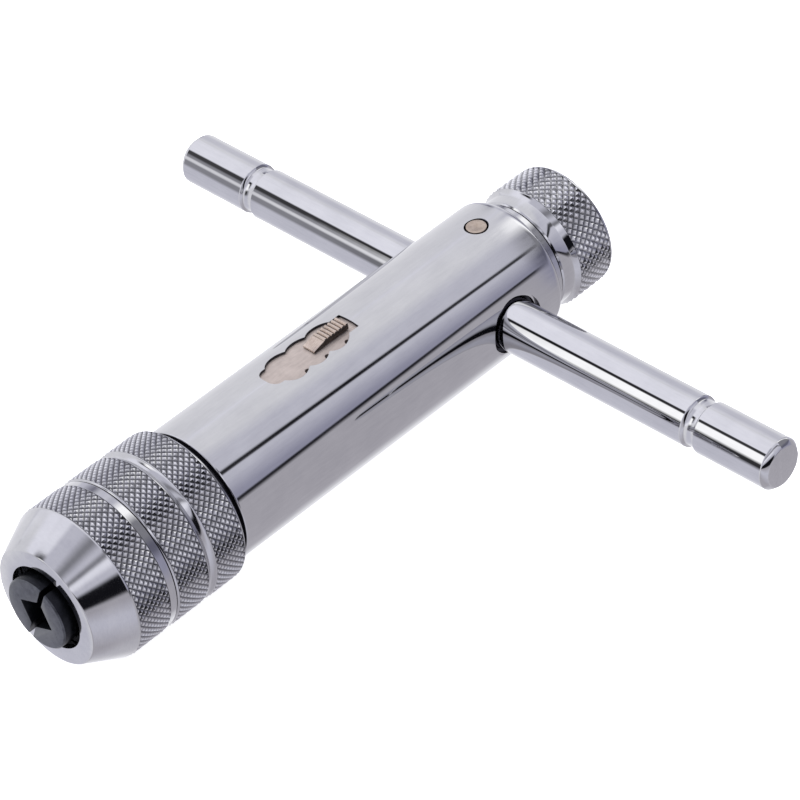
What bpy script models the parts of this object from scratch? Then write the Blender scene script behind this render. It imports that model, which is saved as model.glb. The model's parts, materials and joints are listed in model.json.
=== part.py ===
"""Ratchet tap wrench with a sliding T-bar, built as separate named pieces.

Lengths in this file are millimetres; MM turns them into metres. The tool lies along Y, its jaws
towards -Y. Every "y" is measured from the centre of the T-bar, every radius from the tool's axis.
"""

from math import atan2, cos, pi, radians, sin, sqrt

import bmesh
import bpy
from mathutils import Matrix, Vector

MM = 0.001

# Driving dimensions
BODY_R = 10.0             # outside of the chromed housing
SLEEVE_R = 11.32          # outside of the knurled chuck sleeves
KNOB_R = 9.25             # outside of the knurled clamp knob
BAR_R = 3.69              # T-bar
BAR_HALF = 53.85          # half the length of the T-bar
BAR_SHIFT = 2.05          # how far the T-bar has been slid to +X
BAR_GROOVE = 40.6         # detent groove, from the middle of the T-bar
NOSE_Y = -77.2            # front face of the nose sleeve
JAW_Y = -78.9             # front face of the jaws
KNOB_END = 20.2           # rear face of the clamp knob
KNOB_CORNER = 0.7
HOUSING_FRONT = -52.3
HOUSING_REAR = 10.65
FRONT_STEP = -51.45        # the housing is full size behind this, and stepped down ahead of it
FRONT_STEP_R = 9.2
CAVITY_R = 8.4            # bore that holds the ratchet
CAVITY_END = -18.0
REAR_BORE_R = 5.4         # bore for the clamp plunger
GAP = 0.1                 # radial play left between fitted pieces

# Selector: the slot is a row of round lobes, one for each position
LOBE_PITCH = 3.7
LOBE_R = 2.95
SLOT_MIDDLE = -28.8
SLOT_HALF = 7.8
SLOT_HALF_WIDTH = 1.85
SLOT_CORNER = 1.4
PLATE_INNER = 8.65
PLATE_OUTER = 9.6
PLATE_SPREAD = radians(24)
PLATE_FRONT = -38.0
PLATE_REAR = -14.6
BUTTON_FRONT = -28.5
BUTTON_LIP = 9.95         # front edge of the plain slope ahead of the ribs
RIB_FRONT = -26.6
BUTTON_REAR = -22.05
BUTTON_TOP = 10.7
BUTTON_HALF_WIDTH = 1.05
BUTTON_RIBS = 7

# Ratchet
WHEEL_FRONT = -30.0
WHEEL_REAR = -26.2
WHEEL_TIP_R = 5.2
WHEEL_ROOT_R = 4.4
WHEEL_TEETH = 16
WHEEL_BORE = 3.65
PAWL_PIVOT = (5.8, 4.15)
PAWL_BOSS_R = 1.0
PAWL_LIFT = radians(8)
PAWL_PIN_R = 0.55
PAWL_SPRING_TOP = 6.7
BALL_X = 2.15
BALL_Y = -31.2
BALL_R = 0.7

# Chuck
SOCKET = 4.1              # across the flats of the square between the jaws
JAW_GAP = 0.8
JAW_HEAD_R = 5.2
JAW_TURN = radians(-23.2) # direction in which the right jaw opens, from +X
SLOT_WIDTH = 6.1          # cross slot in the spindle that guides the jaws
CONE_FRONT = -74.0
CONE_REAR = -70.2
CONE_R = 5.35             # inner radius of the closing ring at its front end
CONE_SLOPE = 0.5
NOSE_BORE = 6.16
PIN_Y = 3.63
PIN_R = 1.55
PIN_HOLE_R = 1.68
PIN_TOP = 9.98
BAR_HOLE_MOUTH = 4.5      # counterbore where the T-bar leaves the housing

# Where the tool's axis crosses the T-bar, in the frame of the finished part
ORIGIN = Vector((-BAR_SHIFT, -(JAW_Y + KNOB_END) / 2, SLEEVE_R)) * MM


def clearScene():
    for thing in list(bpy.data.objects):
        bpy.data.objects.remove(thing)


def makeMaterial(name, colour, roughness, metallic):
    material = bpy.data.materials.new(name)
    material.use_nodes = True
    shader = material.node_tree.nodes["Principled BSDF"]
    shader.inputs["Base Color"].default_value = (*colour, 1.0)
    shader.inputs["Roughness"].default_value = roughness
    shader.inputs["Metallic"].default_value = metallic
    material.diffuse_color = (*colour, 1.0)
    return material


def addObject(name, mesh, bm, place=(0, 0, 0)):
    """Finish a bmesh as a smooth-shaded object whose origin is at place."""
    bmesh.ops.recalc_face_normals(bm, faces=bm.faces)
    bm.to_mesh(mesh)
    bm.free()
    made = bpy.data.objects.new(name, mesh)
    bpy.context.collection.objects.link(made)
    made.location = ORIGIN + Vector(place) * MM
    mesh.shade_smooth()
    mesh.set_sharp_from_angle(angle=radians(30))
    return made


def turned(name, outline, segments=64, ring=False, place=(0, 0, 0), turn=(0, 0, 0)):
    """Revolve (y, radius) points around the local Y axis. A ring outline closes on itself."""
    bm = bmesh.new()
    rows = []
    for y, radius in outline:
        if radius < 1e-6:
            rows.append([bm.verts.new((0, y * MM, 0))])
            continue
        row = []
        for step in range(segments):
            angle = 2 * pi * step / segments
            row.append(bm.verts.new((radius * cos(angle) * MM, y * MM, radius * sin(angle) * MM)))
        rows.append(row)
    pairs = list(zip(rows, rows[1:]))
    if ring:
        pairs.append((rows[-1], rows[0]))
    for first, second in pairs:
        for step in range(segments):
            after = (step + 1) % segments
            corners = [first[step % len(first)], first[after % len(first)],
                       second[after % len(second)], second[step % len(second)]]
            unique = list(dict.fromkeys(corners))
            if len(unique) > 2:
                bm.faces.new(unique)
    made = addObject(name, bpy.data.meshes.new(name), bm, place)
    made.rotation_euler = turn
    return made


def prism(name, outline, low, high, axis="Y", place=(0, 0, 0)):
    """Extrude a flat outline between low and high. Along Y the outline is (x, z), along Z (x, y)."""
    bm = bmesh.new()
    ends = []
    for level in (low, high):
        corners = []
        for first, second in outline:
            point = (first, level, second) if axis == "Y" else (first, second, level)
            corners.append(bm.verts.new(Vector(point) * MM))
        ends.append(corners)
        bm.faces.new(corners)
    count = len(outline)
    for step in range(count):
        after = (step + 1) % count
        bm.faces.new((ends[0][step], ends[0][after], ends[1][after], ends[1][step]))
    return addObject(name, bpy.data.meshes.new(name), bm, place)


def block(name, low, high, place=(0, 0, 0)):
    outline = [(low[0], low[2]), (high[0], low[2]), (high[0], high[2]), (low[0], high[2])]
    return prism(name, outline, low[1], high[1], "Y", place)


def curvedSlab(name, inner, outer, spread, front, rear, steps=16):
    """A piece of tube wall centred on the top of the tool."""
    angles = [pi / 2 - spread + 2 * spread * step / steps for step in range(steps + 1)]
    outline = [(outer * cos(angle), outer * sin(angle)) for angle in angles]
    outline += [(inner * cos(angle), inner * sin(angle)) for angle in reversed(angles)]
    return prism(name, outline, front, rear)


def sweptWire(name, points, wire, place=(0, 0, 0)):
    """A round wire along points, with closed ends welded on."""
    curve = bpy.data.curves.new(name, "CURVE")
    curve.dimensions = "3D"
    curve.bevel_depth = wire * MM
    curve.bevel_resolution = 0
    curve.use_fill_caps = True
    spline = curve.splines.new("POLY")
    spline.points.add(len(points) - 1)
    for target, point in zip(spline.points, points):
        target.co = (*(Vector(point) * MM), 1)
    made = bpy.data.objects.new(name, curve)
    bpy.context.collection.objects.link(made)
    made.location = ORIGIN + Vector(place) * MM
    bpy.ops.object.select_all(action="DESELECT")
    bpy.context.view_layer.objects.active = made
    made.select_set(True)
    bpy.ops.object.convert(target="MESH")
    made = bpy.context.view_layer.objects.active
    bm = bmesh.new()
    bm.from_mesh(made.data)
    bmesh.ops.remove_doubles(bm, verts=bm.verts, dist=0.001 * MM)
    bmesh.ops.recalc_face_normals(bm, faces=bm.faces)
    bm.to_mesh(made.data)
    bm.free()
    return made


def coil(name, radius, wire, turns, low, high, direction, place):
    """A helical spring along direction, from low to high."""
    along = Vector(direction).normalized()
    aside = along.orthogonal().normalized()
    across = along.cross(aside)
    steps = int(turns * 10)
    points = []
    for step in range(steps + 1):
        angle = 2 * pi * turns * step / steps
        level = low + wire + (high - low - 2 * wire) * step / steps
        points.append(along * level + (aside * cos(angle) + across * sin(angle)) * radius)
    return sweptWire(name, points, wire, place)


def snapRing(name, major, wire, y, gapAngle):
    """An open wire ring around the tool's axis."""
    steps = 32
    points = []
    for step in range(steps + 1):
        angle = gapAngle / 2 + (2 * pi - gapAngle) * step / steps
        points.append((major * cos(angle), y, major * sin(angle)))
    return sweptWire(name, points, wire)


def sphere(name, radius, place):
    bm = bmesh.new()
    bmesh.ops.create_uvsphere(bm, u_segments=16, v_segments=8, radius=radius * MM)
    return addObject(name, bpy.data.meshes.new(name), bm, place)


def combine(target, tool, operation="DIFFERENCE"):
    """Apply one exact Boolean and delete the tool."""
    modifier = target.modifiers.new("Boolean", "BOOLEAN")
    modifier.operation = operation
    modifier.solver = "EXACT"
    modifier.object = tool
    bpy.context.view_layer.objects.active = target
    bpy.ops.object.modifier_apply(modifier=modifier.name)
    bpy.data.objects.remove(tool)
    target.data.set_sharp_from_angle(angle=radians(30))


def rod(name, radius, low, high, direction, place=(0, 0, 0), segments=24):
    """A plain cylinder along direction, from low to high."""
    outline = [(low, 0), (low, radius), (high, radius), (high, 0)]
    made = turned(name, outline, segments, place=place)
    made.rotation_mode = "QUATERNION"
    made.rotation_quaternion = Vector((0, 1, 0)).rotation_difference(Vector(direction))
    bpy.context.view_layer.update()
    return made


def bakeTurn(made):
    """Write an object's rotation into its mesh."""
    made.data.transform(made.matrix_basis.to_3x3().to_4x4())
    made.rotation_mode = "XYZ"
    made.rotation_euler = (0, 0, 0)
    bpy.context.view_layer.update()


def arc(centreFirst, centreSecond, radius, start, end, steps):
    """Points of a rounded corner, between two angles in degrees from the first axis."""
    points = []
    for step in range(steps + 1):
        angle = radians(start + (end - start) * step / steps)
        points.append((centreFirst + radius * cos(angle), centreSecond + radius * sin(angle)))
    return points


def makeHousing(material):
    outline = [(CAVITY_END, 0), (CAVITY_END, CAVITY_R), (HOUSING_FRONT, CAVITY_R), (HOUSING_FRONT, FRONT_STEP_R),
               (FRONT_STEP, FRONT_STEP_R), (FRONT_STEP, BODY_R - 0.2), (FRONT_STEP + 0.2, BODY_R)]
    outline += arc(8.0, BODY_R - 1.35, 1.35, 90, 0, 6)
    outline += [(9.35, 8.5), (HOUSING_REAR - 0.15, 8.5), (HOUSING_REAR, 8.35), (HOUSING_REAR, REAR_BORE_R),
                (9.95, REAR_BORE_R), (9.95, REAR_BORE_R + 0.35), (9.25, REAR_BORE_R + 0.35),
                (9.25, REAR_BORE_R), (0, REAR_BORE_R), (0, 0)]
    housing = turned("housing", outline, 64)
    barHole = [(-12, 0), (-12, BAR_HOLE_MOUTH), (-8.8, BAR_HOLE_MOUTH), (-8.6, BAR_R + GAP),
               (8.6, BAR_R + GAP), (8.8, BAR_HOLE_MOUTH), (12, BAR_HOLE_MOUTH), (12, 0)]
    combine(housing, turned("barHole", barHole, 48, turn=(0, 0, -pi / 2)))
    # The pocket is longer than the plate by the selector's travel
    combine(housing, curvedSlab("recess", CAVITY_R - GAP, PLATE_OUTER + GAP, PLATE_SPREAD + radians(2),
                                PLATE_FRONT - 2 * LOBE_PITCH - 0.4, PLATE_REAR + 0.4))
    straight = [(SLOT_HALF_WIDTH, SLOT_MIDDLE + SLOT_HALF), (-SLOT_HALF_WIDTH, SLOT_MIDDLE + SLOT_HALF)]
    inset = SLOT_HALF_WIDTH - SLOT_CORNER
    for side, start in ((-1, 180), (1, 270)):
        straight += arc(side * inset, SLOT_MIDDLE - SLOT_HALF + SLOT_CORNER, SLOT_CORNER, start, start + 90, 4)
    combine(housing, prism("slot", straight, 7.9, 12, "Z"))
    for lobe in (-1, 0, 1):
        y = SLOT_MIDDLE + lobe * LOBE_PITCH
        combine(housing, rod("lobe", LOBE_R, 7.9, 12, (0, 0, 1), (0, y, 0)))
    combine(housing, rod("pinHole", PIN_HOLE_R, REAR_BORE_R - 0.8, 12, (0, 0, 1), (0, PIN_Y, 0)))
    housing.data.materials.append(material)


def makeFrontBearing(bronze, steel):
    bush = turned("front_bush", [(-51.6, 6.55), (-41, 6.55), (-41, 8.35), (-51.6, 8.35)], 48, ring=True)
    bush.data.materials.append(bronze)
    washer = turned("thrust_washer", [(-52.3, 6.6), (-51.7, 6.6), (-51.7, 8.0), (-52.3, 8.0)], 48, ring=True)
    washer.data.materials.append(steel)


def makeSpindle(blackSteel, steel):
    outline = [(-48, 0), (-48, 3.3), (CONE_FRONT, 3.3), (CONE_FRONT, 4.85), (-70.3, 6.7), (-69.3, 6.7),
               (-69.3, 8.1), (-66.55, 8.1), (-66.55, 7.75), (-65.85, 7.75), (-65.85, 8.1), (-52.45, 8.1),
               (-52.45, 6.5), (-36, 6.5), (-36, 3.6), (WHEEL_REAR, 3.6), (WHEEL_REAR, 3.1), (-19.9, 3.1),
               (-19.9, 2.6), (-19.3, 2.6), (-19.3, 3.1), (-18.7, 3.1), (-18.5, 2.9), (-18.5, 0)]
    spindle = turned("spindle", outline, 48)
    half = SLOT_WIDTH / 2
    slot = block("jawSlot", (-12, -80, -half), (12, -67, half))
    slot.rotation_euler = (0, -JAW_TURN, 0)
    bpy.context.view_layer.update()
    combine(spindle, slot)
    pinY = (WHEEL_FRONT + WHEEL_REAR) / 2
    combine(spindle, rod("pinHole", 0.65, -5, 5, (0, 0, 1), (0, pinY, 0), 16))
    spindle.data.materials.append(blackSteel)
    circlip = turned("spindle_circlip", [(-19.85, 2.65), (-19.35, 2.65), (-19.35, 4.3), (-19.85, 4.3)], 48, ring=True)
    combine(circlip, block("clipGap", (-0.9, -21, -6), (0.9, -18, 0)))
    circlip.data.materials.append(steel)


def makeRatchet(steel, darkSteel, brass):
    """The toothed wheel, its drive pin, the frame and the two pawls with pins and springs."""
    outline = []
    for tooth in range(WHEEL_TEETH):
        for share, radius in ((-0.22, WHEEL_TIP_R), (0.22, WHEEL_TIP_R), (0.36, WHEEL_ROOT_R), (0.64, WHEEL_ROOT_R)):
            angle = 2 * pi * (tooth + share) / WHEEL_TEETH
            outline.append((radius * cos(angle), radius * sin(angle)))
    wheel = prism("ratchet_wheel", outline, WHEEL_FRONT, WHEEL_REAR)
    combine(wheel, rod("wheelBore", WHEEL_BORE, WHEEL_FRONT - 1, WHEEL_REAR + 1, (0, 1, 0), segments=48))
    pinY = (WHEEL_FRONT + WHEEL_REAR) / 2
    combine(wheel, rod("pinHole", 0.65, -4.25, 4.25, (0, 0, 1), (0, pinY, 0), 16))
    wheel.data.materials.append(darkSteel)
    pin = rod("wheel_pin", 0.6, -4.2, 4.2, (0, 0, 1), (0, pinY, 0), 16)
    bakeTurn(pin)
    pin.data.materials.append(steel)

    front = -34.2
    rear = -20.2
    windowFront = WHEEL_FRONT - 0.1
    windowRear = WHEEL_REAR + 0.1
    outer = CAVITY_R - GAP
    ring = [(front, 4.0), (windowFront, 4.0), (windowFront, 5.7), (windowRear, 5.7), (windowRear, 3.2),
            (rear, 3.2), (rear, outer), (front, outer)]
    frame = turned("ratchet_frame", ring, 48, ring=True)
    combine(frame, block("window", (-9, windowFront, 2.6), (9, windowRear, 9)))
    combine(frame, block("channel", (-1.2, front - 1, 6.4), (1.2, rear + 1, 9)))
    combine(frame, rod("ballPocket", BALL_R + 0.08, 4.4, 9, (0, 0, 1), (BALL_X, BALL_Y, 0), 24))
    for side in (-1, 1):
        hole = rod("pawlPinHole", PAWL_PIN_R + 0.05, -33.2, -22.8, (0, 1, 0),
                   (side * PAWL_PIVOT[0], 0, PAWL_PIVOT[1]), 20)
        combine(frame, hole)
    frame.data.materials.append(steel)

    for side, name in ((1, "forward"), (-1, "reverse")):
        pivot = (side * PAWL_PIVOT[0], 0, PAWL_PIVOT[1])
        boss = [(side * PAWL_BOSS_R * cos(radians(angle)), PAWL_BOSS_R * sin(radians(angle)))
                for angle in range(-115, 76, 19)]
        nose = [(2.3, 5.7), (2.1, 4.85)]
        outline = boss + [(side * (x - PAWL_PIVOT[0]), z - PAWL_PIVOT[1]) for x, z in [(4.3, 5.6)] + nose]
        pawl = prism("pawl_" + name, outline, WHEEL_FRONT + 0.1, WHEEL_REAR - 0.1, "Y", pivot)
        combine(pawl, rod("pivotHole", PAWL_PIN_R + 0.05, -40, -20, (0, 1, 0), pivot, 20))
        lifted = 0.0
        if side < 0:
            lifted = PAWL_LIFT
            pawl.data.transform(Matrix.Rotation(-PAWL_LIFT, 4, "Y"))
        pawl.data.materials.append(darkSteel)
        pin = rod("pawl_pin_" + name, PAWL_PIN_R, -33.1, -22.9, (0, 1, 0), pivot, 20)
        bakeTurn(pin)
        pin.data.materials.append(steel)
        middle = (WHEEL_FRONT + WHEEL_REAR) / 2
        low = 5.72 + (PAWL_PIVOT[0] - 4.3) * sin(lifted) + 0.05
        spring = coil("pawl_spring_" + name, 0.5, 0.11, 3, low, PAWL_SPRING_TOP, (0, 0, 1), (side * 4.25, middle, 0))
        spring.data.materials.append(brass)


def makeSelector(nickel, darkSteel, spring):
    plate = curvedSlab("selector_plate", PLATE_INNER, PLATE_OUTER, PLATE_SPREAD, PLATE_FRONT, PLATE_REAR)
    foot = block("foot", (-1.1, -28.4, 6.7), (1.1, -22.6, PLATE_OUTER - 0.3))
    combine(plate, foot, "UNION")
    ballAngle = atan2(sqrt((PLATE_INNER - 0.05 - BALL_R) ** 2 - BALL_X ** 2), BALL_X)
    holeX = (PLATE_INNER + PLATE_OUTER) / 2 * cos(ballAngle)
    for step in range(3):
        y = BALL_Y + step * LOBE_PITCH
        combine(plate, rod("detentHole", 0.42, 7, 11, (0, 0, 1), (holeX, y, 0), 16))
    plate.data.materials.append(nickel)

    # The ribs are a sawtooth along the top of the button
    pitch = (BUTTON_REAR - RIB_FRONT) / BUTTON_RIBS
    outline = [(BUTTON_FRONT, PLATE_OUTER + 0.08), (BUTTON_FRONT, BUTTON_LIP), (RIB_FRONT, BUTTON_TOP - 0.2)]
    for rib in range(BUTTON_RIBS):
        start = RIB_FRONT + rib * pitch
        outline += [(start + 0.1 * pitch, BUTTON_TOP - 0.25), (start + 0.3 * pitch, BUTTON_TOP),
                    (start + 0.7 * pitch, BUTTON_TOP), (start + 0.9 * pitch, BUTTON_TOP - 0.25)]
    outline.append((BUTTON_REAR, PLATE_OUTER + 0.08))
    bm = bmesh.new()
    sides = []
    for x in (-BUTTON_HALF_WIDTH, BUTTON_HALF_WIDTH):
        corners = [bm.verts.new(Vector((x, y, z)) * MM) for y, z in outline]
        sides.append(corners)
        bm.faces.new(corners)
    for step in range(len(outline)):
        after = (step + 1) % len(outline)
        bm.faces.new((sides[0][step], sides[0][after], sides[1][after], sides[1][step]))
    button = addObject("selector_button", bpy.data.meshes.new("selector_button"), bm)
    button.data.materials.append(nickel)

    ballZ = sqrt((PLATE_INNER - 0.05 - BALL_R) ** 2 - BALL_X ** 2)
    ball = sphere("selector_ball", BALL_R, (BALL_X, BALL_Y, ballZ))
    ball.data.materials.append(darkSteel)
    coiled = coil("selector_spring", 0.5, 0.11, 5, 4.45, ballZ - BALL_R - 0.02, (0, 0, 1), (BALL_X, BALL_Y, 0))
    coiled.data.materials.append(spring)


def makeChuck(chrome, blackSteel, spring):
    rear = [(-64.85, 8.15), (-64.85, 11.1), (-64.65, SLEEVE_R), (-59.5, SLEEVE_R), (-59.3, 10.9)]
    rear += [(-58.75, 10.65), (-58.2, 10.9), (-58.0, SLEEVE_R), (-53.0, SLEEVE_R), (-52.65, 10.95), (-52.65, 8.15)]
    sleeve = turned("rear_sleeve", rear, 64, ring=True)
    sleeve.data.materials.append(chrome)

    nose = [(NOSE_Y, NOSE_BORE), (NOSE_Y, 8.6), (-71.7, 11.22), (-71.5, SLEEVE_R), (-66.2, SLEEVE_R),
            (-66.05, 11.15), (-65.15, 11.15), (-65.0, 11.0), (-65.0, 8.2), (-65.85, 8.2), (-65.85, 8.5),
            (-66.55, 8.5), (-66.55, 8.2), (-67.2, 8.2), (-67.2, 8.35), (-76.1, 8.35), (-76.1, NOSE_BORE)]
    sleeve = turned("nose_sleeve", nose, 64, ring=True)
    sleeve.data.materials.append(chrome)
    ring = snapRing("nose_snap_ring", 8.13, 0.28, -66.2, radians(20))
    ring.data.materials.append(spring)

    coneRear = CONE_R + CONE_SLOPE * (CONE_REAR - CONE_FRONT)
    closing = [(CONE_FRONT, CONE_R), (CONE_REAR, coneRear), (CONE_REAR, 8.15), (CONE_FRONT, 8.15)]
    ring = turned("closing_ring", closing, 48, ring=True)
    ring.data.materials.append(blackSteel)

    neckY = JAW_Y + 2.9
    neckR = CONE_R + CONE_SLOPE * (neckY - CONE_FRONT) - GAP
    rearR = coneRear - GAP
    outline = [(JAW_Y, 0), (JAW_Y, JAW_HEAD_R - 0.2), (JAW_Y + 0.2, JAW_HEAD_R), (neckY - 0.1, JAW_HEAD_R),
               (neckY, neckR), (CONE_REAR, rearR), (-67.2, rearR), (-67.2, 0)]
    for name, way in (("jaw_right", 1), ("jaw_left", -1)):
        jaw = turned(name, outline, 64)
        low = JAW_GAP / 2
        keep = [(low, -9), (9, -9), (9, 9), (low, 9)]
        tools = [prism("half", [(way * d, s) for d, s in keep], JAW_Y - 1, -66)]
        side = SLOT_WIDTH / 2 - 0.15
        guide = [(-1, -side), (9, -side), (9, side), (-1, side)]
        tools.append(prism("guide", [(way * d, s) for d, s in guide], neckY, -66))
        head = [(-1, -9), (9, -9), (9, 9), (-1, 9)]
        tools.append(prism("head", [(way * d, s) for d, s in head], JAW_Y - 1, neckY))
        combine(tools[1], tools[2], "UNION")
        corner = SOCKET / sqrt(2)
        square = prism("square", [(corner, 0), (0, corner), (-corner, 0), (0, -corner)], JAW_Y - 2, -69.6)
        springHole = rod("springHole", 0.95, -3.6, 3.6, (1, 0, 0), (0, -68.4, 0), 20)
        bakeTurn(springHole)
        for tool in (tools[0], tools[1], square, springHole):
            tool.rotation_euler = (0, -JAW_TURN, 0)
        bpy.context.view_layer.update()
        combine(jaw, tools[0], "INTERSECT")
        combine(jaw, tools[1], "INTERSECT")
        combine(jaw, square)
        combine(jaw, springHole)
        jaw.data.materials.append(blackSteel)
    along = (cos(JAW_TURN), 0, sin(JAW_TURN))
    coiled = coil("jaw_spring", 0.68, 0.13, 7, -3.1, 3.1, along, (0, -68.4, 0))
    coiled.data.materials.append(spring)


def makeHandle(chrome, steel, copper, spring):
    half = [(BAR_GROOVE - 1.15, BAR_R), (BAR_GROOVE - 0.8, BAR_R - 0.42), (BAR_GROOVE + 0.8, BAR_R - 0.42),
            (BAR_GROOVE + 1.15, BAR_R), (BAR_HALF - 0.6, BAR_R), (BAR_HALF, BAR_R - 0.6), (BAR_HALF, 0)]
    outline = [(-y, radius) for y, radius in reversed(half)] + half
    bar = turned("t_bar", outline, 48, place=(BAR_SHIFT, 0, 0), turn=(0, 0, -pi / 2))
    bpy.context.view_layer.update()
    bakeTurn(bar)
    bar.data.materials.append(chrome)

    plunger = turned("clamp_plunger", [(1.2, 0), (1.2, 5.3), (7.7, 5.3), (7.7, 2.95), (17, 2.95), (17, 0)], 48)
    cradle = [(-9, 0), (-9, BAR_R + 0.26), (9, BAR_R + 0.26), (9, 0)]
    combine(plunger, turned("cradle", cradle, 48, turn=(0, 0, -pi / 2)))
    combine(plunger, rod("detentBore", 1.65, 0, 10, (0, 1, 0)))
    combine(plunger, block("keyway", (-1.1, 0, 4.3), (1.1, 5.3, 7)))
    plunger.data.materials.append(steel)
    ball = sphere("detent_ball", 1.5, (0, BAR_R + 1.53, 0))
    ball.data.materials.append(steel)
    coiled = coil("detent_spring", 1.15, 0.2, 4, 7.15, 9.8, (0, 1, 0), (0, 0, 0))
    coiled.data.materials.append(spring)

    knob = [(18.5, 0), (18.5, 3.1), (8.9, 3.1), (8.9, 5.3), (9.3, 5.3), (9.3, 5.0), (9.9, 5.0), (9.9, 5.3),
            (10.8, 5.3), (10.8, 8.3), (11.0, 8.5), (13.0, 8.5), (13.6, KNOB_R)]
    knob += arc(KNOB_END - KNOB_CORNER, KNOB_R - KNOB_CORNER, KNOB_CORNER, 90, 0, 5) + [(KNOB_END, 0)]
    knob = turned("clamp_knob", knob, 64)
    knob.data.materials.append(chrome)
    ring = snapRing("knob_snap_ring", 5.35, 0.26, 9.6, radians(20))
    ring.data.materials.append(spring)

    pin = turned("guide_pin", [(4.4, 0), (4.4, 1.0), (6, 1.0), (6, PIN_R), (PIN_TOP - 0.15, PIN_R),
                               (PIN_TOP, PIN_R - 0.2), (PIN_TOP, 0)],
                 32, place=(0, PIN_Y, 0), turn=(pi / 2, 0, 0))
    bpy.context.view_layer.update()
    bakeTurn(pin)
    pin.data.materials.append(copper)


def main():
    clearScene()
    chrome = makeMaterial("chrome", (0.78, 0.78, 0.82), 0.12, 1.0)
    steel = makeMaterial("steel", (0.55, 0.56, 0.58), 0.35, 1.0)
    darkSteel = makeMaterial("hardened_steel", (0.25, 0.25, 0.27), 0.4, 1.0)
    blackSteel = makeMaterial("black_oxide", (0.045, 0.047, 0.055), 0.45, 0.6)
    bronze = makeMaterial("bronze", (0.6, 0.42, 0.22), 0.35, 1.0)
    nickel = makeMaterial("nickel", (0.62, 0.53, 0.46), 0.35, 1.0)
    copper = makeMaterial("copper", (0.6, 0.45, 0.35), 0.4, 1.0)
    spring = makeMaterial("spring_steel", (0.4, 0.4, 0.42), 0.3, 1.0)
    makeHousing(chrome)
    makeFrontBearing(bronze, steel)
    makeSpindle(blackSteel, steel)
    makeRatchet(steel, darkSteel, spring)
    makeSelector(nickel, darkSteel, spring)
    makeChuck(chrome, blackSteel, spring)
    makeHandle(chrome, steel, copper, spring)


main()
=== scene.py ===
import json
from math import cos, pi, radians, sin

import bpy
from mathutils import Matrix, Vector


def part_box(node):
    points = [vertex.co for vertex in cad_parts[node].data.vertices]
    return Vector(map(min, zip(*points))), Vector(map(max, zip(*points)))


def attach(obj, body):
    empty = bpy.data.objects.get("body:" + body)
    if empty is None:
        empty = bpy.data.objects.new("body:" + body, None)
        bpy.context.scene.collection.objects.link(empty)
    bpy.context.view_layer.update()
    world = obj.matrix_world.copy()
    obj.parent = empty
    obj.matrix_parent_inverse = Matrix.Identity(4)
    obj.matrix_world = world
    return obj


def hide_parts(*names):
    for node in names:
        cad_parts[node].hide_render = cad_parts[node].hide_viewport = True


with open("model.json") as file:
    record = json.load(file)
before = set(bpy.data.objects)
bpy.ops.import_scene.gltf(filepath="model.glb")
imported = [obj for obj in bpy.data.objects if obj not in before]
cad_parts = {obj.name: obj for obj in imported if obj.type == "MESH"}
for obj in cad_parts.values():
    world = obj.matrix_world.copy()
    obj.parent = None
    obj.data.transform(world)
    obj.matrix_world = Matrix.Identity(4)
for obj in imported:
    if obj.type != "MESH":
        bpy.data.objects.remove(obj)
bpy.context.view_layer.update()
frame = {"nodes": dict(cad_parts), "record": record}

mm = 0.001
nodes = frame["nodes"]
bodies = frame["record"]["behaviour"]["bodies"]
bodyOf = {node: body for body, members in bodies.items() for node in members}

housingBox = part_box("housing")
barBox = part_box("t_bar")
bodyMiddle = (housingBox[0] + housingBox[1]) / 2
barMiddle = (barBox[0] + barBox[1]) / 2
heart = Vector((bodyMiddle.x, barMiddle.y, bodyMiddle.z))  # where the tool's axis crosses the bar
ways = {"x": Vector((1, 0, 0)), "y": Vector((0, 1, 0)), "z": Vector((0, 0, 1))}
turns = {"x": (0, pi / 2, 0), "y": (pi / 2, 0, 0), "z": (0, 0, 0)}


def dropSelection():
    if bpy.context.object and bpy.context.object.mode != "OBJECT":
        bpy.ops.object.mode_set(mode="OBJECT")
    bpy.ops.object.select_all(action="DESELECT")


def takeUp(*pieces):
    dropSelection()
    for piece in pieces:
        piece.select_set(True)
    bpy.context.view_layer.objects.active = pieces[0]


def ringPiece(name, along, rings, sides, solid=True, centre=heart):  # rings are (distance, radius) in mm
    dropSelection()
    way = ways[along]
    first, radius = rings[0]
    bpy.ops.mesh.primitive_circle_add(vertices=sides, radius=radius * mm, rotation=turns[along],
                                      location=centre + way * first * mm,
                                      fill_type="NGON" if solid else "NOTHING")
    piece = bpy.context.object
    piece.name = piece.data.name = name
    bpy.ops.object.transform_apply(location=True, rotation=True, scale=True)
    bpy.ops.object.mode_set(mode="EDIT")
    bpy.ops.mesh.select_all(action="SELECT")
    for (near, small), (far, large) in zip(rings, rings[1:]):
        bpy.ops.mesh.extrude_region_move(TRANSFORM_OT_translate={"value": way * (far - near) * mm})
        widen = [large / small] * 3
        widen["xyz".index(along)] = 1
        bpy.ops.transform.resize(value=widen, center_override=centre + way * far * mm)
    bpy.ops.mesh.select_all(action="SELECT")
    bpy.ops.mesh.remove_doubles(threshold=0.0001 * mm)
    bpy.ops.mesh.normals_make_consistent(inside=False)
    bpy.ops.object.mode_set(mode="OBJECT")
    return piece


def roundCorner(middle, radius, size, start, end, steps=8):  # a fillet's (distance, radius) rings
    bend = [radians(start + (end - start) * step / steps) for step in range(steps + 1)]
    return [(middle + size * sin(angle), radius + size * cos(angle)) for angle in bend]


def cutAway(piece, cutter, wall=None):  # wall is the finish of the faces left by the cut
    takeUp(piece)
    cut = piece.modifiers.new("Cut", "BOOLEAN")
    cut.operation = "DIFFERENCE"
    cut.solver = "EXACT"
    cut.object = cutter
    if wall:
        cutter.data.materials.append(wall)
        cut.material_mode = "TRANSFER"
    bpy.ops.object.modifier_apply(modifier=cut.name)
    bpy.data.objects.remove(cutter)


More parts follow.
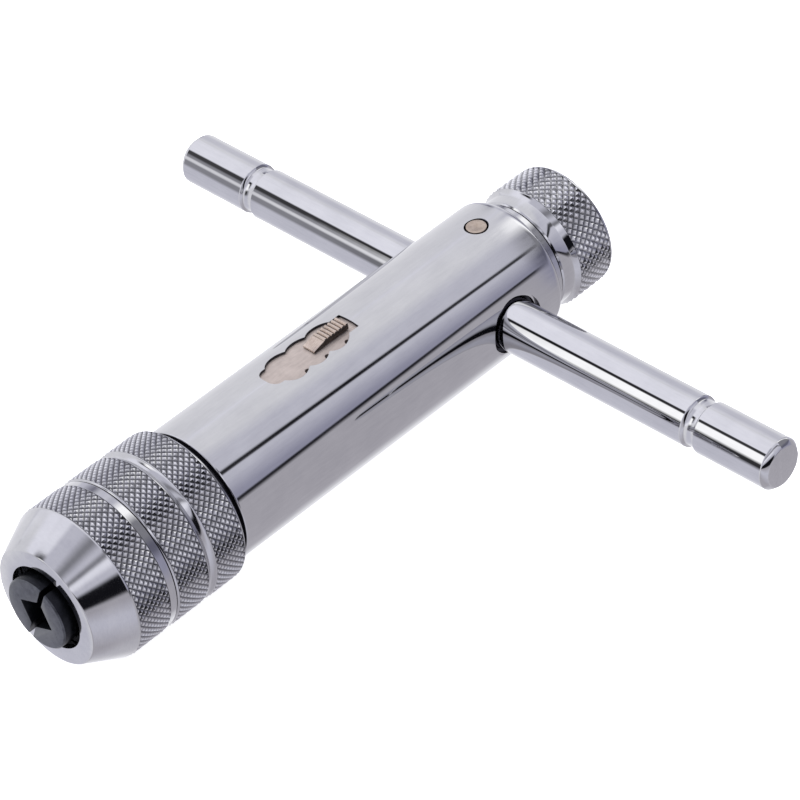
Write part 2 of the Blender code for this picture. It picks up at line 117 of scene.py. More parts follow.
def softenEdges(piece, width, steps=3, angle=35):
    takeUp(piece)
    soften = piece.modifiers.new("Soften", "BEVEL")
    soften.width = width * mm
    soften.segments = steps
    soften.limit_method = "ANGLE"
    soften.angle_limit = radians(angle)
    soften.harden_normals = False
    bpy.ops.object.modifier_apply(modifier=soften.name)


def smoothOver(piece, angle=30):
    takeUp(piece)
    bpy.ops.object.shade_smooth_by_angle(angle=radians(angle))


def joinInto(piece, *others):
    takeUp(piece, *others)
    bpy.ops.object.join()
    return piece


def cleanCopy(node):  # a merged copy of a CAD node, free to be shaped
    piece = nodes[node].copy()
    piece.data = nodes[node].data.copy()
    bpy.context.scene.collection.objects.link(piece)
    piece.name = piece.data.name = node + "_finished"
    piece.parent = None
    for key in list(piece.keys()):
        del piece[key]
    takeUp(piece)
    bpy.ops.object.mode_set(mode="EDIT")
    bpy.ops.mesh.select_all(action="SELECT")
    bpy.ops.mesh.remove_doubles(threshold=0.001 * mm)
    bpy.ops.mesh.dissolve_limited(angle_limit=radians(2))
    bpy.ops.mesh.normals_make_consistent(inside=False)
    bpy.ops.object.mode_set(mode="OBJECT")
    return piece


def knurlBand(name, knurl, front, rear, radius):  # a closed ring of small pyramids
    around, rows = knurl["around"], knurl["rows"]
    floor = radius - knurl["depth"]
    rings = [(front + (rear - front) * row / rows, floor) for row in range(rows + 1)]
    band = ringPiece(name, "y", rings, around, solid=False)
    corners = len(band.data.vertices)
    bpy.ops.object.mode_set(mode="EDIT")
    bpy.ops.mesh.select_all(action="SELECT")
    bpy.ops.mesh.poke(offset=0)
    bpy.ops.mesh.select_all(action="DESELECT")
    bpy.ops.object.mode_set(mode="OBJECT")
    borders = (heart.y + front * mm, heart.y + rear * mm)
    for edge in band.data.edges:  # the square grid goes, the diagonals stay: diamonds
        ends = [band.data.vertices[corner].co.y for corner in edge.vertices]
        onBorder = any(abs(end - border) < 0.01 * mm for end in ends for border in borders)
        flat = abs(ends[0] - ends[1]) < 0.01 * mm
        edge.select = max(edge.vertices) < corners and not (onBorder and flat)
    bpy.ops.object.mode_set(mode="EDIT")
    bpy.ops.mesh.select_mode(type="EDGE")
    bpy.ops.mesh.dissolve_edges(use_verts=False)
    bpy.ops.mesh.select_mode(type="VERT")
    bpy.ops.mesh.select_all(action="SELECT")
    bpy.ops.mesh.poke(offset=knurl["depth"] * mm)
    bpy.ops.mesh.select_all(action="DESELECT")
    bpy.ops.mesh.select_non_manifold(extend=False)
    bpy.ops.mesh.extrude_region_move()
    shrink = (floor - knurl["root"]) / floor
    bpy.ops.transform.resize(value=(shrink, 1, shrink), center_override=heart)
    bpy.ops.mesh.bridge_edge_loops()
    bpy.ops.mesh.select_all(action="SELECT")
    bpy.ops.mesh.normals_make_consistent(inside=False)
    bpy.ops.object.mode_set(mode="OBJECT")
    return band


def assign(piece, node):  # the new piece stands in for a CAD node
    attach(piece, bodyOf[node])
    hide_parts(node)


def dress(piece, finish, node):
    piece.data.materials.clear()
    piece.data.materials.append(finish)
    assign(piece, node)


def linear(hexColour):
    parts = [int(hexColour[place:place + 2], 16) / 255 for place in (1, 3, 5)]
    return [part / 12.92 if part <= 0.04045 else ((part + 0.055) / 1.055) ** 2.4 for part in parts] + [1]


def addNode(tree, kind, settings=None, links=None):
    made = tree.nodes.new(kind)
    for key, value in (settings or {}).items():
        if isinstance(key, int) or key in made.inputs:
            made.inputs[key].default_value = value
        else:
            setattr(made, key, value)
    for socket, source in (links or {}).items():
        tree.links.new(source, made.inputs[socket])
    return made


def fillRamp(ramp, stops):
    while len(ramp.color_ramp.elements) < len(stops):
        ramp.color_ramp.elements.new(0.5)
    for element, (place, colour) in zip(ramp.color_ramp.elements, stops):
        element.position = place
        element.color = colour
    return ramp


def makeMetal(look):  # clouds for the stain, grain for the tool marks, a wave for the buffing
    metal = bpy.data.materials.new(look["name"])
    metal.use_nodes = True
    tree = metal.node_tree
    shader = tree.nodes["Principled BSDF"]
    shader.inputs["Metallic"].default_value = look.get("metallic", 1.0)
    place = addNode(tree, "ShaderNodeTexCoord")
    centred = addNode(tree, "ShaderNodeMapping", {"Location": -heart}, {"Vector": place.outputs["Object"]})
    clouds = addNode(tree, "ShaderNodeTexNoise",
                     {"Scale": 1 / (look["cloud"] * mm), "Detail": 4.0, "Roughness": 0.6},
                     {"Vector": centred.outputs[0]})
    stretched = addNode(tree, "ShaderNodeMapping", {"Scale": look["grainShape"]},
                        {"Vector": centred.outputs[0]})
    grain = addNode(tree, "ShaderNodeTexNoise",
                    {"Scale": 1 / (look["grain"] * mm), "Detail": 3.0, "Roughness": 0.65},
                    {"Vector": stretched.outputs[0]})
    blend = addNode(tree, "ShaderNodeMath", {"operation": "MULTIPLY_ADD", 1: 0.6, 2: -0.05},
                    {0: clouds.outputs["Fac"]})
    both = addNode(tree, "ShaderNodeMath", {"operation": "MULTIPLY_ADD", 1: 0.45},
                   {0: grain.outputs["Fac"], 2: blend.outputs[0]})
    tone = addNode(tree, "ShaderNodeValToRGB", links={"Fac": both.outputs[0]})
    fillRamp(tone, [(0.3, linear(look["deep"])), (0.65, linear(look["pale"]))])
    colour = tone.outputs["Color"]
    if "paintedValleyShade" in look:  # painted shade: the colour darkens towards the grooves between the diamonds
        dark, bottom, top = look["paintedValleyShade"]
        flat = addNode(tree, "ShaderNodeVectorMath", {"operation": "MULTIPLY", 1: (1, 0, 1)},
                       {0: centred.outputs[0]})
        reach = addNode(tree, "ShaderNodeVectorMath", {"operation": "LENGTH"}, {0: flat.outputs[0]})
        height = addNode(tree, "ShaderNodeMapRange", {"From Min": bottom * mm, "From Max": top * mm},
                         {"Value": reach.outputs["Value"]})
        mixed = addNode(tree, "ShaderNodeMix", {"data_type": "RGBA"}, {0: height.outputs[0]})
        mixed.inputs[6].default_value = linear(dark)
        tree.links.new(colour, mixed.inputs[7])
        colour = mixed.outputs[2]
    tree.links.new(colour, shader.inputs["Base Color"])
    least, most = look["rough"]
    rough = addNode(tree, "ShaderNodeMapRange",
                    {"From Min": 0.3, "From Max": 0.7, "To Min": least, "To Max": most},
                    {"Value": both.outputs[0]})
    tree.links.new(rough.outputs[0], shader.inputs["Roughness"])
    bump = addNode(tree, "ShaderNodeBump",
                   {"Strength": look.get("bump", 0.3), "Distance": look["relief"] * mm},
                   {"Height": grain.outputs["Fac"]})
    if "wave" in look:  # long, shallow unevenness left by the buffing wheel
        swell = addNode(tree, "ShaderNodeMapping", {"Scale": look["waveShape"]},
                        {"Vector": centred.outputs[0]})
        buffed = addNode(tree, "ShaderNodeTexNoise", {"Scale": 1 / (look["wave"] * mm), "Detail": 1.0},
                         {"Vector": swell.outputs[0]})
        under = addNode(tree, "ShaderNodeBump", {"Strength": 1.0, "Distance": look["waveRelief"] * mm},
                        {"Height": buffed.outputs["Fac"]})
        tree.links.new(under.outputs[0], bump.inputs["Normal"])
    tree.links.new(bump.outputs[0], shader.inputs["Normal"])
    return metal


knurlRecipe = {"pale": "#E6E6E8", "deep": "#CFCFD2", "rough": (0.14, 0.26), "cloud": 2.5, "grain": 0.3,
               "grainShape": (1, 1, 1), "relief": 0.004}
# sizes in mm, colours as the eye sees them
finishes = {
    # bright chrome plate on turned and buffed steel: crisp reflections, slightly clouded and rippled
    "chrome": makeMetal({"name": "brightChromePlate", "pale": "#CBCBCD", "deep": "#C0C0C3",
                         "rough": (0.02, 0.06), "cloud": 6.0, "grain": 0.5, "grainShape": (1, 0.12, 1),
                         "relief": 0.0006, "bump": 0.4, "wave": 5.0, "waveShape": (1, 0.2, 1),
                         "waveRelief": 0.004}),
    # the same plate on the bar, buffed along X
    "barChrome": makeMetal({"name": "brightChromePlateBar", "pale": "#CDCDCF", "deep": "#C2C2C5",
                            "rough": (0.01, 0.035), "cloud": 5.0, "grain": 0.4, "grainShape": (0.12, 1, 1),
                            "relief": 0.0006, "bump": 0.4, "wave": 1.4, "waveShape": (0.5, 1, 1),
                            "waveRelief": 0.003}),
    # chrome over a turned cone: fine lathe rings blur the reflection into streaks
    "turnedChrome": makeMetal({"name": "turnedChromePlate", "pale": "#CACACC", "deep": "#BEBEC2",
                               "rough": (0.06, 0.12), "cloud": 3.0, "grain": 0.25,
                               "grainShape": (0.25, 3, 0.25), "relief": 0.002, "bump": 0.5}),
    # satin chrome over rolled diamond knurling: bright crests, grey grooves that are painted shade
    "knurled_chrome": makeMetal({"name": "knurledSatinChrome", **knurlRecipe,
                                 "paintedValleyShade": ("#66666B", 11.08, 11.24)}),
    "knobKnurl": makeMetal({"name": "knurledSatinChromeKnob", **knurlRecipe,
                            "paintedValleyShade": ("#5E5E62", 8.97, 9.12)}),
    # hot black oxide over ground steel: near black, slightly blue, oily sheen
    "black_oxide": makeMetal({"name": "blackOxideSteel", "pale": "#2E3036", "deep": "#1C1D21",
                              "rough": (0.28, 0.42), "cloud": 1.2, "grain": 0.18, "grainShape": (0.3, 1, 3),
                              "relief": 0.004, "metallic": 0.9}),
    # a paler copy of the oxide for the faces turned to the front: painted light, dark grey, faint grinding lines
    "paintedLightOxide": makeMetal({"name": "paintedLightBlackOxide", "pale": "#686A70", "deep": "#4A4C52",
                            "rough": (0.25, 0.4), "cloud": 1.0, "grain": 0.16, "grainShape": (0.3, 1, 3),
                            "relief": 0.004}),
    # near-black finish for the walls left by the cuts and the front step: painted shade, dull and rough
    "paintedShadeWall": makeMetal({"name": "paintedShadeWallSteel", "pale": "#54535A", "deep": "#2E2D33",
                             "rough": (0.3, 0.5), "cloud": 1.0, "grain": 0.14, "grainShape": (1, 1, 0.2),
                             "relief": 0.006}),
    # dull nickel on pressed steel, yellowed by oil: warm tan sheet
    "nickel": makeMetal({"name": "warmNickelSheet", "pale": "#D3C4B8", "deep": "#AE9F94", "rough": (0.2, 0.36),
                         "cloud": 1.6, "grain": 0.2, "grainShape": (1, 0.2, 1), "relief": 0.003}),
    # the same nickel darkened as painted shade: rib grooves and the button's sides
    "paintedShadeNickel": makeMetal({"name": "paintedShadeNickel", "pale": "#6B625C", "deep": "#3E3935",
                              "rough": (0.35, 0.5), "cloud": 0.8, "grain": 0.15, "grainShape": (1, 0.3, 1),
                              "relief": 0.004}),
    # the same nickel on the sliding plate, dulled by years of rubbing: soft, no mirror image
    "rubbedNickel": makeMetal({"name": "rubbedNickelSheet", "pale": "#CABFB8", "deep": "#A99E98",
                               "rough": (0.5, 0.65), "cloud": 2.2, "grain": 0.25,
                               "grainShape": (1, 0.15, 1), "relief": 0.003, "metallic": 0.75}),
    # soft copper pin, faced off: pinkish tan with turning marks
    "copper": makeMetal({"name": "facedCopper", "pale": "#CDBFB2", "deep": "#A39486", "rough": (0.28, 0.42),
                         "cloud": 0.8, "grain": 0.12, "grainShape": (1, 1, 1), "relief": 0.004}),
    # plain turned steel inside the tool
    "steel": makeMetal({"name": "turnedSteel", "pale": "#B9BABC", "deep": "#94969A", "rough": (0.25, 0.4),
                        "cloud": 2.0, "grain": 0.2, "grainShape": (0.3, 3, 0.3), "relief": 0.004}),
    # hardened and tempered: darker, with a straw and blue cast
    "hardened_steel": makeMetal({"name": "temperedSteel", "pale": "#7E7B76", "deep": "#56565C",
                                 "rough": (0.3, 0.45), "cloud": 1.5, "grain": 0.2, "grainShape": (1, 1, 1),
                                 "relief": 0.004}),
    # sintered bronze: warm and finely pitted
    "bronze": makeMetal({"name": "sinteredBronze", "pale": "#C79B62", "deep": "#9A7344", "rough": (0.35, 0.5),
                         "cloud": 1.0, "grain": 0.15, "grainShape": (1, 1, 1), "relief": 0.01}),
    # drawn spring wire: grey with faint drawing lines
    "spring_steel": makeMetal({"name": "drawnSpringWire", "pale": "#9B9CA0", "deep": "#75767B",
                               "rough": (0.22, 0.36), "cloud": 0.8, "grain": 0.1, "grainShape": (1, 1, 1),
                               "relief": 0.002}),
}
print("finishes made:", len(finishes))

# distances in mm along the axis from where it crosses the bar, and radii in mm
housingLook = {"radius": 10.0, "front": -52.3, "rear": 10.65, "step": -51.45, "stepRadius": 9.2, "cavity": 8.4,
               "cavityEnd": -18.0, "rearBore": 5.4, "shoulder": 8.0, "corner": 1.35, "boss": 8.5,
               "bossStart": 9.4, "ringGroove": (9.25, 9.95, 5.75), "barHole": 3.79, "barMouth": 4.5,
               "mouthDepth": 9.35, "sides": 256}
recessLook = {"front": -45.8, "rear": -14.2, "floor": 8.3, "roof": 9.7, "lean": 26}
slotLook = {"middle": -28.8, "pitch": 3.7, "lobe": 2.95, "half": 7.8, "halfWidth": 1.85, "height": 4.2,
            "endRadius": 1.4}
pinLook = {"y": 3.63, "hole": 1.68, "radius": 1.55, "top": 9.98}


def makeHousing():
    h = housingLook
    corner = 0.15  # the small radius on the turned edges
    grooveStart, grooveEnd, grooveRadius = h["ringGroove"]
    rings = [(h["cavityEnd"], h["cavity"]), (h["front"], h["cavity"]), (h["front"], h["stepRadius"])]
    rings += [(h["step"], h["stepRadius"]), (h["step"], h["radius"] - corner)]
    rings += roundCorner(h["step"] + corner, h["radius"] - corner, corner, -90, 0, 4)[1:]
    # rings beside a corner keep its shading short
    rings += [(h["step"] + 0.25, h["radius"]), (h["step"] + 0.35, h["radius"])]
    rings += [(y, h["radius"]) for y in range(-45, 8, 7)]
    rings += [(h["shoulder"] - 0.2, h["radius"]), (h["shoulder"] - 0.1, h["radius"])]
    rings += roundCorner(h["shoulder"], h["radius"] - h["corner"], h["corner"], 0, 90, 10)
    rings += [(h["bossStart"] - 0.05, h["boss"] + 0.06), (h["bossStart"], h["boss"])]
    rings += [(h["rear"] - corner, h["boss"]), (h["rear"], h["boss"] - corner), (h["rear"], h["rearBore"])]
    rings += [(grooveEnd, h["rearBore"]), (grooveEnd, grooveRadius), (grooveStart, grooveRadius)]
    rings += [(grooveStart, h["rearBore"]), (0, h["rearBore"])]
    housing = ringPiece("housing_shell", "y", rings, h["sides"])
    flare = [(12, h["barMouth"]), (h["mouthDepth"], h["barMouth"]), (9.3, 4.22), (8.8, 4.2)]
    flare += [(8.6, h["barHole"])]
    hole = [(-x, radius) for x, radius in flare] + [(x, radius) for x, radius in reversed(flare)]
    housing.data.materials.append(finishes["chrome"])
    # painted shade: each cut leaves its walls in the near-black wall finish
    cutAway(housing, ringPiece("barHole", "x", hole, 128), finishes["paintedShadeWall"])
    cutAway(housing, plateRecess(), finishes["paintedShadeWall"])
    s = slotLook
    for lobe in (-1, 0, 1):
        middle = heart + Vector((0, (s["middle"] + lobe * s["pitch"]) * mm, 0))
        lobeCut = ringPiece("lobe", "z", [(7.9, s["lobe"]), (12, s["lobe"])], 64, centre=middle)
        cutAway(housing, lobeCut, finishes["paintedShadeWall"])
    cutAway(housing, slotRun(), finishes["paintedShadeWall"])
    pinMiddle = heart + Vector((0, pinLook["y"] * mm, 0))
    drilled, mouth = pinLook["hole"], pinLook["hole"] + 0.08
    hole = [(4.6, drilled), (h["radius"] - 0.1, drilled), (h["radius"], mouth), (12, mouth)]
    cutAway(housing, ringPiece("pinHole", "z", hole, 64, centre=pinMiddle), finishes["paintedShadeWall"])
    # painted shade: the faces ahead of the front step take the dark wall finish, while the flat step round the
    # bar keeps the chrome
    for face in housing.data.polygons:
        if face.center.y < heart.y + (h["step"] + 0.01) * mm:
            face.material_index = 1
        fromHeart = face.center - heart
        nearBar = fromHeart.yz.length < (h["barMouth"] + 0.1) * mm
        inMouth = nearBar and abs(fromHeart.x) > (h["mouthDepth"] - 0.1) * mm
        if inMouth and abs(face.normal.x) > 0.8:
            face.material_index = 0
    smoothOver(housing, 28)
    assign(housing, "housing")


def plateRecess():  # the curved pocket under the slot in which the plate slides
    front, rear, floor, roof = (recessLook[key] for key in ("front", "rear", "floor", "roof"))
    rings = [(front, floor), (front, roof), (rear, roof), (rear, floor), (front, floor)]
    pocket = ringPiece("recess", "y", rings, 128, solid=False)
    bpy.ops.object.mode_set(mode="EDIT")
    for side in (-1, 1):
        bpy.ops.mesh.select_all(action="SELECT")
        lean = radians(recessLook["lean"])
        bpy.ops.mesh.bisect(plane_co=heart, plane_no=(side * cos(lean), 0, -sin(lean)), use_fill=True,
                            clear_outer=True)
    bpy.ops.mesh.select_all(action="SELECT")
    bpy.ops.mesh.normals_make_consistent(inside=False)
    bpy.ops.object.mode_set(mode="OBJECT")
    return pocket


def slotRun():  # the straight run that joins the lobes, with a rounded front end
    s = slotLook
    dropSelection()
    place = heart + Vector((0, s["middle"], housingLook["radius"])) * mm
    bpy.ops.mesh.primitive_cube_add(size=1, location=place)
    run = bpy.context.object
    run.scale = (2 * s["halfWidth"] * mm, 2 * s["half"] * mm, s["height"] * mm)
    bpy.ops.object.transform_apply(location=True, rotation=True, scale=True)
    bpy.ops.object.mode_set(mode="EDIT")
    bpy.ops.mesh.select_all(action="DESELECT")
    bpy.ops.object.mode_set(mode="OBJECT")
    frontEnd = min(vertex.co.y for vertex in run.data.vertices)
    for edge in run.data.edges:
        ends = [run.data.vertices[corner].co for corner in edge.vertices]
        upright = abs(ends[0].z - ends[1].z) > mm
        edge.select = upright and all(abs(end.y - frontEnd) < 0.01 * mm for end in ends)
    bpy.ops.object.mode_set(mode="EDIT")
    bpy.ops.mesh.select_mode(type="EDGE")
    bpy.ops.mesh.bevel(offset=s["endRadius"] * mm, segments=6)
    bpy.ops.mesh.select_mode(type="VERT")
    bpy.ops.object.mode_set(mode="OBJECT")
    return run


makeHousing()
print("housing made")

barLook = {"radius": 3.69, "half": 53.85, "groove": 40.6, "depth": 0.42, "sides": 192}


def makeBar():
    b = barLook
    full, floor = b["radius"], b["radius"] - b["depth"]
    flank = [(1.3, full), (1.2, full), (1.15, full), (1.05, full - 0.03), (0.85, floor + 0.06), (0.7, floor)]
    half = [(b["groove"] - x, radius) for x, radius in flank]
    half += [(b["groove"] + x, radius) for x, radius in reversed(flank)]
    tip = [(1.0, full), (0.9, full), (0.75, full - 0.03), (0.1, full - 0.62), (0.03, full - 0.74)]
    tip += [(0, full - 0.86)]
    half += [(b["half"] - x, radius) for x, radius in tip]  # a turned chamfer with eased edges
    rings = [(-x, radius) for x, radius in reversed(half)]
    rings += [(-25, full), (0, full), (25, full)] + half
    bar = ringPiece("bar_rod", "x", rings, b["sides"], centre=barMiddle)
    smoothOver(bar, 40)
    dress(bar, finishes["barChrome"], "t_bar")


makeBar()
print("bar made")

sleeveKnurl = {"around": 68, "rows": 5, "depth": 0.24, "root": 0.22}
knobKnurl = {"around": 50, "rows": 5, "depth": 0.28, "root": 0.25}
sleeveLook = {"radius": 11.32, "bed": 11.04, "sides": 224}


def knurledPiece(name, rings, bands, knurl, radius, finish, knurlFinish, solid=False):
    core = ringPiece(name, "y", rings, sleeveLook["sides"], solid=solid)
    smoothOver(core, 32)
    core.data.materials.append(finish)
    for front, rear in bands:
        band = knurlBand(name + "_knurl", knurl, front, rear, radius)
        band.data.materials.append(knurlFinish)
        joinInto(core, band)
    return core


def makeSleeves():
    full, bed = sleeveLook["radius"], sleeveLook["bed"]
    nose = [(-77.2, 6.16), (-77.2, 8.46), (-77.16, 8.56), (-77.06, 8.64), (-71.8, 11.15), (-71.62, 11.2)]
    nose += [(-71.5, 11.2), (-71.5, bed), (-66.2, bed), (-66.2, 11.2), (-66.05, 11.15), (-65.2, 11.15)]
    nose += [(-65.06, 11.1), (-65.0, 10.98), (-65.0, 8.2), (-65.85, 8.2), (-65.85, 8.5), (-66.55, 8.5)]
    nose += [(-66.55, 8.2), (-67.2, 8.2), (-67.2, 8.35), (-76.1, 8.35), (-76.1, 6.3), (-76.2, 6.16)]
    nose += [(-77.2, 6.16)]
    piece = knurledPiece("nose_sleeve_finished", nose, [(-71.5, -66.2)], sleeveKnurl, full,
                         finishes["turnedChrome"], finishes["knurled_chrome"])
    assign(piece, "nose_sleeve")

    rear = [(-64.85, 8.15), (-64.85, 11.0), (-64.78, 11.1), (-64.65, 11.18), (-64.62, 11.18), (-64.62, bed)]
    rear += [(-59.5, bed), (-59.5, 11.2), (-59.4, 11.18), (-59.25, 10.95), (-59.0, 10.76), (-58.75, 10.68)]
    rear += [(-58.5, 10.76), (-58.25, 10.95), (-58.1, 11.18), (-58.0, 11.2), (-58.0, bed), (-53.0, bed)]
    rear += [(-53.0, 11.18), (-52.9, 11.16), (-52.65, 10.9), (-52.65, 8.15), (-64.85, 8.15)]
    piece = knurledPiece("rear_sleeve_finished", rear, [(-64.62, -59.5), (-58.0, -53.0)], sleeveKnurl, full,
                         finishes["turnedChrome"], finishes["knurled_chrome"])
    assign(piece, "rear_sleeve")


def makeKnob():
    full = 9.25
    knob = [(18.5, 3.1), (8.9, 3.1), (8.9, 5.3), (9.3, 5.3), (9.3, 5.0), (9.9, 5.0), (9.9, 5.3), (10.8, 5.3)]
    knob += [(10.8, 8.3), (11.0, 8.5), (12.8, 8.5), (13.05, 8.56), (13.5, 8.98), (13.65, 9.08), (13.65, 8.97)]
    knob += [(19.65, 8.97), (19.65, 9.1)] + roundCorner(19.75, 8.65, 0.45, 0, 90, 6)
    piece = knurledPiece("clamp_knob_finished", knob, [(13.65, 19.65)], knobKnurl, full,
                         finishes["chrome"], finishes["knobKnurl"], solid=True)
    assign(piece, "clamp_knob")


makeSleeves()
makeKnob()
print("sleeves and knob made")

for node in ("jaw_right", "jaw_left"):
    jaw = cleanCopy(node)
    softenEdges(jaw, 0.14, 2)
    smoothOver(jaw, 30)
    dress(jaw, finishes["black_oxide"], node)
    jaw.data.materials.append(finishes["paintedLightOxide"])
    # painted light: faces turned to the front (-Y) take the paler oxide, the sides stay near black
    for face in jaw.data.polygons:
        if face.normal.y < -0.5:
            face.material_index = 1

button = cleanCopy("selector_button")
softenEdges(button, 0.05, 2)
smoothOver(button, 30)
dress(button, finishes["nickel"], "selector_button")
button.data.materials.append(finishes["paintedShadeNickel"])
ribFloor = max(vertex.co.z for vertex in button.data.vertices) - 0.2 * mm
ribFront = min(vertex.co.y for vertex in button.data.vertices) + 1.95 * mm
# painted shade: the rib grooves and the button's sides take the darker nickel
for face in button.data.polygons:
    groove = face.center.z < ribFloor and face.center.y > ribFront
    if groove or abs(face.normal.x) > 0.6:
        face.material_index = 1


def makePin():
    p = pinLook
    rings = [(4.4, 1.0), (6.0, 1.0), (6.0, p["radius"]), (9.2, p["radius"]), (9.25, p["radius"] - 0.09)]
    rings += [(p["top"] - 0.12, p["radius"] - 0.09), (p["top"] - 0.03, p["radius"] - 0.14)]
    rings += [(p["top"], p["radius"] - 0.28), (p["top"] - 0.04, 0.9), (p["top"] - 0.1, 0.35)]
    rings += [(p["top"] - 0.13, 0.1)]
    pin = ringPiece("guide_pin_finished", "z", rings, 64, centre=heart + Vector((0, p["y"] * mm, 0)))
    smoothOver(pin, 40)
    dress(pin, finishes["copper"], "guide_pin")


makePin()
print("jaws, button and pin made")

innerPieces = {
    "steel": ["thrust_washer", "spindle_circlip", "wheel_pin", "ratchet_frame", "pawl_pin_forward",
              "pawl_pin_reverse", "clamp_plunger", "detent_ball"],
    "hardened_steel": ["ratchet_wheel", "pawl_forward", "pawl_reverse", "selector_ball"],
    "black_oxide": ["spindle", "closing_ring"],
    "bronze": ["front_bush"],
    "rubbedNickel": ["selector_plate"],
    "spring_steel": ["pawl_spring_forward", "pawl_spring_reverse", "selector_spring", "nose_snap_ring",
                     "knob_snap_ring", "jaw_spring", "detent_spring"],
}
for slot, names in innerPieces.items():
    for name in names:
        nodes[name].data.materials.clear()
        nodes[name].data.materials.append(finishes[slot])

# a photographer's tent: what stands round the tool for the plating to mirror
tent = {"strength": 1.75, "whiteCard": "#F8F8F8", "brightWall": "#D8D8E0", "paleWall": "#C8C8CC",
        "silverCard": "#B4B4BE", "dullWall": "#9C9AA0", "coolPanel": "#888899", "greyCard": "#78787E",
        "slatePanel": "#5C5C6A", "darkGap": "#101014"}
# each card with the degrees where it starts and ends, up from +X round the tool and up from +Y round the bar
besideBody = [("paleWall", -180, -115), ("dullWall", -90, 0), ("darkGap", 5, 8), ("coolPanel", 10, 15),
              ("silverCard", 45, 49), ("darkGap", 51, 55), ("silverCard", 58, 80), ("paleWall", 100, 180)]
besideBar = [("darkGap", -180, -178), ("silverCard", -165, -100), ("paleWall", -75, -5), ("silverCard", 15, 35),
             ("brightWall", 60, 118), ("darkGap", 120, 129), ("whiteCard", 132, 158), ("darkGap", 169, 180)]
besideFarBar = [("greyCard", -180, -177), ("silverCard", -165, -100), ("paleWall", -75, -5),
                ("silverCard", 15, 35), ("brightWall", 60, 117), ("darkGap", 122, 134), ("greyCard", 142, 147),
                ("paleWall", 153, 160), ("greyCard", 167, 180)]
beforeNose = [("paleWall", -180, -120), ("dullWall", -95, -70), ("silverCard", -35, -25), ("dullWall", -5, 0),
              ("darkGap", 5, 26), ("silverCard", 32, 38), ("brightWall", 45, 50), ("greyCard", 55, 58),
              ("silverCard", 63, 67), ("greyCard", 78, 82), ("silverCard", 95, 120), ("brightWall", 135, 150),
              ("paleWall", 160, 180)]
behindShoulder = [("silverCard", -180, -130), ("dullWall", -110, -40), ("coolPanel", -10, 5),
                  ("slatePanel", 20, 30), ("greyCard", 45, 72), ("whiteCard", 90, 102), ("silverCard", 115, 118),
                  ("slatePanel", 142, 154), ("silverCard", 175, 180)]


def makeWorld():
    world = bpy.data.worlds.new("studio")
    bpy.context.scene.world = world
    world.use_nodes = True
    tree = world.node_tree
    back = tree.nodes["Background"]
    way = addNode(tree, "ShaderNodeTexCoord")
    parts = addNode(tree, "ShaderNodeSeparateXYZ", links={0: way.outputs["Generated"]})
    x, y, z = parts.outputs

    def sums(operation, first, second=0.0, third=None):
        settings, links = {"operation": operation}, {}
        for place, value in enumerate((first, second, third)):
            if value is None:
                continue
            if isinstance(value, (int, float)):
                settings[place] = value
            else:
                links[place] = value
        return addNode(tree, "ShaderNodeMath", settings, links).outputs[0]

    aroundBody = sums("ARCTAN2", z, x)
    # the cards beside the body stand askew, so their edges draw together towards the rear
    along = sums("MINIMUM", sums("MAXIMUM", y, 0.4), 0.57)
    spread = sums("DIVIDE", 0.245, sums("SUBTRACT", 0.712, along))
    shift = sums("MULTIPLY", sums("SUBTRACT", aroundBody, radians(30)), sums("SUBTRACT", spread, 1.0))
    shift = sums("MINIMUM", sums("MAXIMUM", shift, radians(-8)), radians(8))
    askew = sums("MULTIPLY_ADD", sums("ADD", aroundBody, shift), 1 / (2 * pi), 0.5)
    straight = sums("MULTIPLY_ADD", aroundBody, 1 / (2 * pi), 0.5)
    aroundBar = sums("MULTIPLY_ADD", sums("ARCTAN2", z, y), 1 / (2 * pi), 0.5)

    def tones(place, cards):
        stops = [((angle + 180) / 360, linear(tent[card])) for card, *edges in cards for angle in edges]
        return fillRamp(addNode(tree, "ShaderNodeValToRGB", links={0: place}), stops).outputs[0]

    def reach(value, low, high):
        return addNode(tree, "ShaderNodeMapRange", {"From Min": low, "From Max": high},
                       {"Value": value}).outputs[0]

    def mix(share, first, second):
        made = addNode(tree, "ShaderNodeMix", {"data_type": "RGBA"}, {0: share})
        tree.links.new(first, made.inputs[6])
        tree.links.new(second, made.inputs[7])
        return made.outputs[2]

    bar = mix(reach(x, -0.54, -0.6), tones(aroundBar, besideBar), tones(aroundBar, besideFarBar))
    awayBody = sums("ABSOLUTE", sums("SUBTRACT", y, 0.5))
    awayBar = sums("ABSOLUTE", sums("ADD", x, 0.55))
    offBar = reach(awayBar, 0.08, 0.18)
    share = sums("DIVIDE", awayBody, sums("ADD", sums("ADD", awayBody, awayBar), 0.001))
    colour = mix(share, tones(askew, besideBody), bar)
    colour = mix(sums("MULTIPLY", reach(y, 0.08, -0.08), offBar), colour, tones(straight, beforeNose))
    colour = mix(sums("MULTIPLY", reach(y, 0.5465, 0.5485), offBar), colour, tones(straight, behindShoulder))
    backdrop = addNode(tree, "ShaderNodeRGB")
    backdrop.outputs[0].default_value = linear(tent["brightWall"])
    path = addNode(tree, "ShaderNodeLightPath")
    # the cards show only as reflections
    colour = mix(path.outputs["Is Camera Ray"], colour, backdrop.outputs[0])
    tree.links.new(colour, back.inputs["Color"])
    back.inputs["Strength"].default_value = tent["strength"]


makeWorld()


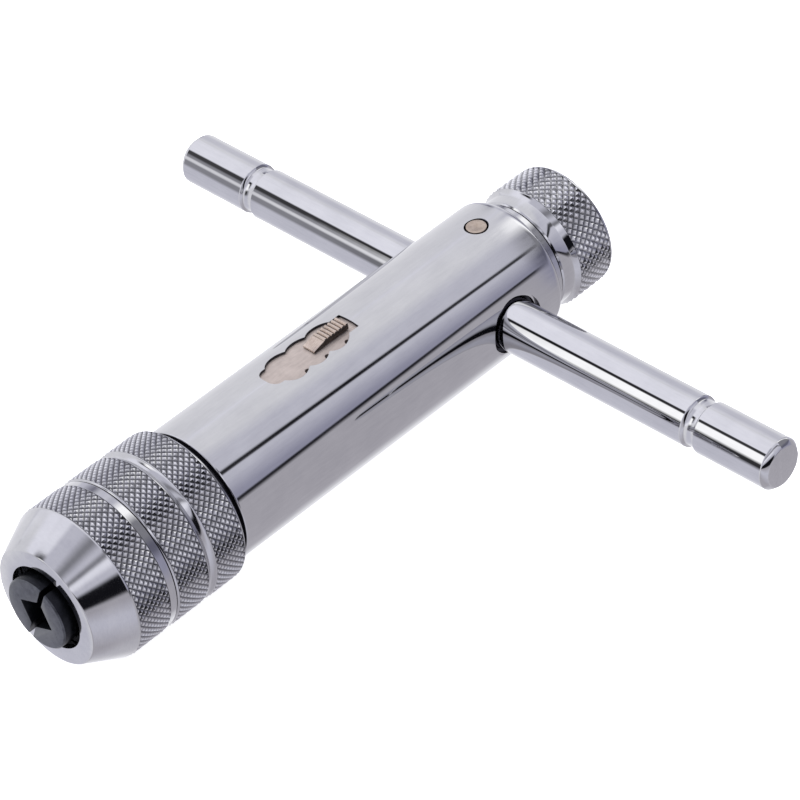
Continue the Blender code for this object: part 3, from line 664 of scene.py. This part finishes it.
def makeFloor():
    dropSelection()
    bpy.ops.mesh.primitive_plane_add(size=6, location=(0, 0, 0))
    floor = bpy.context.object
    floor.name = "paleFloor"
    paper = bpy.data.materials.new("whitePaper")
    paper.use_nodes = True
    tree = paper.node_tree
    shader = tree.nodes["Principled BSDF"]
    place = addNode(tree, "ShaderNodeTexCoord")
    fibre = addNode(tree, "ShaderNodeTexNoise", {"Scale": 900.0, "Detail": 2.0},
                    {"Vector": place.outputs["Object"]})
    tint = addNode(tree, "ShaderNodeValToRGB", links={0: fibre.outputs["Fac"]})
    fillRamp(tint, [(0.3, linear("#F1F1F1")), (0.7, linear("#F6F6F6"))])
    tree.links.new(tint.outputs[0], shader.inputs["Base Color"])
    shader.inputs["Roughness"].default_value = 0.9
    shader.inputs["Specular IOR Level"].default_value = 0.1
    shader.inputs["Emission Color"].default_value = (1, 1, 1, 1)
    shader.inputs["Emission Strength"].default_value = 0.8  # only the contact shadow is left on the paper
    floor.data.materials.append(paper)
    floor.visible_glossy = False  # the plating mirrors the studio's grey, not the paper


makeFloor()


def makeSoftbox():
    light = bpy.data.lights.new("softbox", "AREA")
    light.shape = "DISK"
    light.size = 0.5
    light.energy = 6.0
    softbox = bpy.data.objects.new("softbox", light)
    bpy.context.scene.collection.objects.link(softbox)
    softbox.location = (-0.25, -0.1, 0.7)
    softbox.rotation_euler = (softbox.location * -1).to_track_quat("-Z", "Y").to_euler()
    softbox.visible_glossy = False


makeSoftbox()

# angles in degrees, distances and lens in mm
view = {"azimuth": 48.06, "elevation": 40.33, "roll": -6.77, "distance": 569.9, "aside": -8.6,
        "above": -13.85, "lens": 189.95}


def makeCamera():
    side, rise, roll = (radians(view[key]) for key in ("azimuth", "elevation", "roll"))
    back = Vector((sin(side) * cos(rise), -cos(side) * cos(rise), sin(rise)))
    level = Vector((0, 0, 1)).cross(back).normalized()
    upright = back.cross(level)
    right = level * cos(roll) + upright * sin(roll)
    up = upright * cos(roll) - level * sin(roll)
    spot = heart + (back * view["distance"] + right * view["aside"] + up * view["above"]) * mm
    lens = bpy.data.cameras.new("camera")
    lens.lens = view["lens"]
    lens.sensor_width = 36
    lens.clip_start = 0.01
    camera = bpy.data.objects.new("camera", lens)
    bpy.context.scene.collection.objects.link(camera)
    turn = Matrix((right, up, back)).transposed().to_4x4()
    camera.matrix_world = Matrix.Translation(spot) @ turn
    bpy.context.scene.camera = camera


makeCamera()
bpy.context.scene.view_settings.view_transform = "Standard"
print("studio and camera ready")
